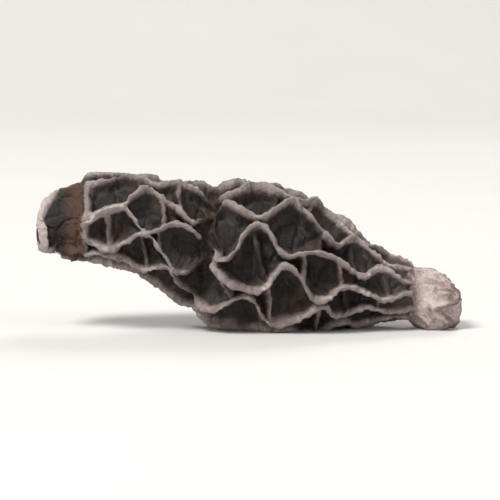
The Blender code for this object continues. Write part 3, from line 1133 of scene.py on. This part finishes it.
@dataclass(frozen=True)
class FruitingBody:
    """The whole mushroom, cap and stem grown as one hollow piece. Lengths are in mm."""

    outline: Outline = Outline()
    net: RidgeNet = RidgeNet()
    marks: DryingMarks = DryingMarks()
    wrinkles: DryingWrinkles = DryingWrinkles()
    scurf: MealyScurf = MealyScurf()
    columns_per_channel: int = 18
    column_crowding: float = 0.6
    rows_per_step: int = 6
    hollow_rows: int = 30
    wall: float = 0.95
    stem_wall: float = 0.7
    hollow_from_tip: float = 3.4
    hollow_end_length: float = 3.5
    mouth_inset: float = 0.2
    hollow_least_radius: float = 0.5
    hollow_least_share: float = 0.3
    stem_blend_x: tuple = (11.5, 15.5)
    net_ends_from_margin: tuple = (0.5, -0.2)
    furrows_fade: tuple = (1.0, 1.2)
    margin_uneven: float = 0.18
    # Each of the margin's waves has its count round the mushroom, its phase and its share.
    margin_waves: tuple = ((3, 1.0, 1.0), (7, 0.0, 0.7))
    box_ease: float = 0.5
    proud_smoothing: int = 24
    proud_height: float = 0.16

    def columns(self) -> np.ndarray:
        """Places the mesh's columns across a channel, closer together by its ridges."""
        q = np.arange(self.columns_per_channel) / self.columns_per_channel
        return q - self.column_crowding * np.sin(TURN * q) / TURN

    def net_height(
        self, reach: np.ndarray, ridges: np.ndarray, girth: np.ndarray, angle: np.ndarray
    ) -> np.ndarray:
        """Raises the whole net.

        Args:
            reach: Distance of each row from the tip.
            ridges: Angle of each ridge, by ridge and row.
            girth: Mean radius of each row.
            angle: Angle of each point.

        Returns:
            Height by row and column, as a share of the depth of the pits.
        """
        net, margin = self.net, self.outline.margin
        rng = np.random.default_rng(net.seed + 1)
        across = self.columns()
        channels = []
        for channel in range(net.ridges):
            gap = (ridges[channel + 1] - ridges[channel]) * girth
            near = wall_profile(across * gap[:, None], net.half_width)
            far = wall_profile((1 - across) * gap[:, None], net.half_width)
            ribs = net.ribs_across(rng, reach, gap, across, margin)
            channels.append(tallest_of(near, far, ribs))
        height = self.marks.folded_tip(np.concatenate(channels, axis=1), reach, angle, self.outline)
        uneven = 1 + patches(rng, reach[:, None], angle, net.uneven_lengths, net.uneven_turns)
        return height * (1 - net.crest_uneven * uneven)

    def outside(self) -> tuple[np.ndarray, np.ndarray, np.ndarray, np.ndarray]:
        """Lays the rings of the outside from the tip to the rim of the cut stem.

        Returns:
            The points, the angle of each, the net's height at each and the point of the floor below each.
        """
        outline, net = self.outline, self.net
        step = net.step / self.rows_per_step
        reach = np.append(np.arange(0.0, outline.reach[-1], step), outline.reach[-1])
        x, under, top, half = outline.at(reach)
        ends = (outline.margin + off for off in self.net_ends_from_margin)
        depth = outline.pit_depth(x) * step_between(*ends, reach)
        ridges = net.ridge_angles(reach, outline.margin)
        share = np.tile(self.columns(), net.ridges)[:, None]
        channel = np.repeat(np.arange(net.ridges), self.columns_per_channel)
        angle = (ridges[channel] * (1 - share) + ridges[channel + 1] * share).T
        raised = self.net_height(reach, ridges, (top - under + 2 * half) / 4, angle)
        raised = raised * self.marks.pinched(x[:, None], angle)
        raised = raised + (1 - raised) * self.marks.pressed(x, angle)
        height = raised * depth[:, None]
        floor = outline.rings(x, (under + top) / 2, (top - under) / 2 - depth, half - depth, angle)
        around = np.roll(floor, -1, axis=1) - np.roll(floor, 1, axis=1)
        outward = np.cross(around, np.gradient(floor, axis=0))
        outward[0] = outward[1].mean(axis=0)
        for vector in (around, outward):
            vector /= np.maximum(np.linalg.norm(vector, axis=2, keepdims=True), LEAST_LENGTH)
        lean_rng = np.random.default_rng(net.seed + 3)
        lean = net.lean * patches(lean_rng, reach[:, None], angle, net.lean_lengths, net.lean_turns)
        out = height + self.marks.folds(reach, angle, outline) + self.marks.lumps(floor[..., 0], angle)
        points = floor + outward * out[..., None] + around * (lean * height)[..., None]
        return points, angle, raised, floor

    def hollow(self, angle: np.ndarray) -> np.ndarray:
        """Lays the rings of the hollow from its mouth in the stem to its blind end under the tip.

        Args:
            angle: Angle of each column.

        Returns:
            The points.
        """
        outline = self.outline
        mouth = outline.stations[-1, 0] - self.mouth_inset
        end = outline.stations[0, 0] + self.hollow_from_tip
        x = end + (mouth - end) * np.cos(np.linspace(0, np.pi / 2, self.hollow_rows))
        cap, stem = np.array(outline.cap), np.array(outline.stem[1:])
        under, top, half = [np.interp(x, cap[:, 0], cap[:, k]) for k in (1, 2, 3)]
        stem_under, stem_top, stem_half = [np.interp(x, stem[:, 0], stem[:, k]) for k in (1, 2, 3)]
        in_stem = step_between(*self.stem_blend_x, x)
        closing = np.sqrt(1 - np.clip(1 - (x - end) / self.hollow_end_length, 0, 1) ** 2)
        wall = outline.pit_depth(x) + self.wall
        stem_tall = (stem_top - stem_under) / 2 - self.stem_wall
        middle = (under + top) / 2 * (1 - in_stem) + (stem_under + stem_top) / 2 * in_stem
        tall = (((top - under) / 2 - wall) * (1 - in_stem) + stem_tall * in_stem) * closing
        wide = ((half - wall) * (1 - in_stem) + (stem_half - self.stem_wall) * in_stem) * closing
        points = outline.rings(x, middle, tall, wide, angle + np.zeros((len(x), 1)))
        radius = np.maximum((tall + wide) / 2, self.hollow_least_radius)[:, None]
        sunk = 1 - self.marks.creases(points[..., 0], angle) / radius
        centre = points.mean(axis=1, keepdims=True)
        return centre + (points - centre) * np.maximum(sunk, self.hollow_least_share)[..., None]

    def smooth_mesh(self) -> bpy.types.Mesh:
        """Builds the closed mesh before its wrinkles, with its traits.

        Returns:
            The mesh, in metres.
        """
        outside, angle, raised, floor = self.outside()
        hollow = self.hollow(angle[-1])
        rings = self.marks.shrivelled(np.concatenate([outside, hollow])) - self.outline.middle
        rings[..., 2] = np.maximum(rings[..., 2], 0.0)
        count, around = rings.shape[:2]
        body = rings[1:-1].reshape(-1, 3)
        points = np.concatenate([[rings[0].mean(axis=0)], body, [rings[-1].mean(axis=0)]]) * MM
        last = len(points) - 1
        ids = 1 + np.arange((count - 2) * around).reshape(count - 2, around)
        beside = np.roll(ids, -1, axis=1)
        quads = np.stack([ids[:-1], ids[1:], beside[1:], beside[:-1]], axis=-1).reshape(-1, 4)
        faces = [(0, int(a), int(b)) for a, b in zip(ids[0], beside[0])]
        faces += [tuple(quad) for quad in quads.tolist()]
        faces += [(int(a), last, int(b)) for a, b in zip(ids[-1], beside[-1])]
        mesh = bpy.data.meshes.new("morel_smooth")
        mesh.from_pydata(points.tolist(), [], faces)
        mesh.shade_smooth()

        # The cap's skin ends along an uneven line at its margin and the lining starts inside the rim.
        margin = self.outline.margin
        waves = sum(share * np.sin(turns * angle + phase) for turns, phase, share in self.margin_waves)
        uneven = self.margin_uneven * waves
        rows = np.arange(len(outside)) * self.net.step / self.rows_per_step
        outer = np.where(rows[:, None] > margin + uneven, Region.STEM, Region.CAP)
        region = np.concatenate([outer, np.full(hollow.shape[:2], Region.LINING)])
        region[len(outside)] = Region.STEM
        reach = np.append(rows[:-1], self.outline.reach[-1])
        start, end = self.furrows_fade
        furrowed = step_between(margin, margin + start, reach)
        furrowed = furrowed * step_between(reach[-1], reach[-1] - end, reach)
        furrowed = np.repeat(furrowed[:, None], around, axis=1)
        plain = np.zeros(hollow.shape[:2])
        for trait, rings, ends in (
            (Trait.REGION, region, (Region.CAP, Region.LINING)),
            (Trait.CREST, np.concatenate([raised, plain]), (0.0, 0.0)),
            (Trait.FURROWED, np.concatenate([furrowed, plain]), (0.0, 0.0)),
        ):
            values = np.concatenate([ends[:1], rings[1:-1].ravel(), ends[1:]]).astype(np.float32)
            mesh.attributes.new(trait.value, "FLOAT", "POINT").data.foreach_set("value", values)
        root = np.concatenate([floor, hollow])
        root = np.concatenate([root[:1, 0], root[1:-1].reshape(-1, 3), root[-1:, 0]])
        root = root.astype(np.float32) * MM
        stored = mesh.attributes.new(Trait.ROOT.value, "FLOAT_VECTOR", "POINT")
        stored.data.foreach_set("vector", root.ravel())
        return mesh

    def mark_proud(self, mesh: bpy.types.Mesh) -> None:
        """Stores how proud of the skin round it each point is, from -1 in creases to 1 on sharp edges.

        Args:
            mesh: Wrinkled mesh, which gets the trait.
        """
        points = vectors(mesh.vertices, "co")
        outward = vectors(mesh.vertex_normals, "vector")
        ends = np.empty(len(mesh.edges) * 2, np.int64)
        mesh.edges.foreach_get("vertices", ends)
        here, there = np.concatenate([ends.reshape(-1, 2), ends.reshape(-1, 2)[:, ::-1]]).T
        count = np.bincount(here, minlength=len(points))[:, None]
        smooth = points
        for _ in range(self.proud_smoothing):
            total = [np.bincount(here, smooth[there, axis], len(points)) for axis in range(3)]
            smooth = (smooth + np.stack(total, axis=1) / count) / 2
        proud = ((points - smooth) * outward).sum(axis=1) / (self.proud_height * MM)
        values = np.clip(proud, -1, 1).astype(np.float32)
        mesh.attributes.new(Trait.PROUD.value, "FLOAT", "POINT").data.foreach_set("value", values)

    def keep_in_box(self, mesh: bpy.types.Mesh) -> None:
        """Eases back what stands out of the CAD model's box, and keeps the underside on its floor."""
        points = vectors(mesh.vertices, "co")
        low, high = np.array(CAD_LOW), np.array(CAD_HIGH)
        ease = self.box_ease * MM
        over = np.maximum(points - (high - ease), 0)
        points -= over - ease * np.tanh(over / ease)
        under = np.maximum(low + ease - points, 0)
        under[:, 2] = 0
        points += under - ease * np.tanh(under / ease)
        points[:, 2] = np.maximum(points[:, 2], low[2])
        mesh.vertices.foreach_set("co", points.ravel())
        mesh.update()

    def build(self) -> bpy.types.Object:
        """Builds and dresses the mushroom.

        Returns:
            The finished piece.
        """
        finishes = (CapSkin(), StemSkin(), HollowLining())
        skins = {region: finish.material() for region, finish in zip(Region, finishes)}
        wrinkled = self.wrinkles.apply(self.smooth_mesh(), skins[Region.CAP])
        self.mark_proud(wrinkled)
        mesh = self.scurf.apply(wrinkled, skins)
        self.keep_in_box(mesh)
        mesh.name = "dried_morel"
        piece = placed(mesh.name, mesh)
        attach(piece, "root")
        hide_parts("morel")
        return piece


# The studio


@dataclass(frozen=True)
class SoftLight:
    """A square soft light that faces the mushroom. Place and side are in metres, power in watts."""

    name: str
    place: tuple
    side: float
    power: float
    colour: str = "#ffffff"

    def build(self, target: Vector) -> bpy.types.Object:
        """Hangs the light.

        Args:
            target: Point that it faces.

        Returns:
            The light.
        """
        light = bpy.data.lights.new(self.name, "AREA")
        light.size = self.side
        light.energy = self.power
        light.color = linear(self.colour)[:3]
        lamp = placed(self.name, light)
        aim(lamp, Vector(self.place), target - Vector(self.place))
        return lamp


@dataclass(frozen=True)
class Studio:
    """A round sweep of pale paper, soft lights and the camera at the photograph's viewing angle."""

    floor_radius: float = 0.45
    sweep_radius: float = 0.3
    sweep_height: float = 0.45
    inner_ring: float = 0.05
    floor_rings: int = 8
    arc_rings: int = 15
    sides: int = 96
    lights: tuple = (
        SoftLight("key_softbox", (-0.50, -0.55, 0.95), 0.4, 18.0, "#fffdfa"),
        SoftLight("fill_softbox", (0.85, -0.60, 0.75), 0.6, 4.0, "#f4f7ff"),
        SoftLight("rim_softbox", (0.35, 0.85, 0.85), 0.5, 6.5, "#ffffff"),
    )
    surround: str = "#f3f3f2"
    surround_strength: float = 0.45
    azimuth: float = 0.0
    elevation: float = 6.0
    lens: float = 150.0
    nearest: float = 0.005
    frame_width: float = 0.046

    def sweep(self) -> bpy.types.Object:
        """Builds the floor, which curves up all round into a wall.

        Returns:
            The floor.
        """
        arc = np.linspace(0, np.pi / 2, self.arc_rings + 1)[1:]
        flat = np.linspace(self.inner_ring, self.floor_radius, self.floor_rings)
        radii = [0.0, *flat, *(self.floor_radius + self.sweep_radius * np.sin(arc))]
        heights = [0.0] * (1 + self.floor_rings) + list(self.sweep_radius * (1 - np.cos(arc)))
        radii.append(radii[-1])
        heights.append(self.sweep_height)
        sides = self.sides
        turn = np.arange(sides) / sides * TURN
        points = [(0.0, 0.0, 0.0)]
        for radius, height in zip(radii[1:], heights[1:]):
            points += [(radius * math.cos(a), radius * math.sin(a), height) for a in turn]
        faces = [(0, 1 + k, 1 + (k + 1) % sides) for k in range(sides)]
        for ring in range(len(radii) - 2):
            low = 1 + ring * sides
            faces += [(low + k, low + sides + k, low + sides + (k + 1) % sides, low + (k + 1) % sides)
                      for k in range(sides)]
        mesh = bpy.data.meshes.new("paper_sweep")
        mesh.from_pydata(points, [], faces)
        mesh.shade_smooth()
        mesh.materials.append(StudioPaper().material())
        floor = placed("paper_sweep", mesh)
        return floor

    def surround_light(self) -> None:
        """Fills the room with a little even light."""
        world = bpy.data.worlds.new("soft_room")
        world.use_nodes = True
        background = world.node_tree.nodes["Background"]
        background.inputs["Color"].default_value = linear(self.surround)
        background.inputs["Strength"].default_value = self.surround_strength
        bpy.context.scene.world = world

    def camera(self, target: Vector) -> bpy.types.Object:
        """Sets the camera.

        Args:
            target: Point in the middle of its view.

        Returns:
            The camera.
        """
        data = bpy.data.cameras.new("camera")
        data.lens = self.lens
        data.clip_start = self.nearest
        camera = placed("camera", data)
        a, e = math.radians(self.azimuth), math.radians(self.elevation)
        back = Vector((math.sin(a) * math.cos(e), -math.cos(a) * math.cos(e), math.sin(e)))
        away = self.frame_width * self.lens / data.sensor_width
        aim(camera, target + back * away, -back)
        bpy.context.scene.camera = camera
        return camera

    def build(self) -> None:
        """Builds the sweep, the lights and the camera."""
        target = (CAD_LOW + CAD_HIGH) / 2
        self.sweep()
        self.surround_light()
        for light in self.lights:
            light.build(target)
        self.camera(target)
        bpy.context.scene.view_settings.view_transform = "Standard"


def main() -> None:
    """Builds the studio and the mushroom, and reports each piece."""
    logging.basicConfig(level=logging.INFO, format="%(name)s: %(message)s")
    Studio().build()
    piece = FruitingBody().build()
    triangles = sum(len(face.vertices) - 2 for face in piece.data.polygons)
    log.info("%s: %d triangles", piece.name, triangles)


if __name__ == "__main__":
    main()
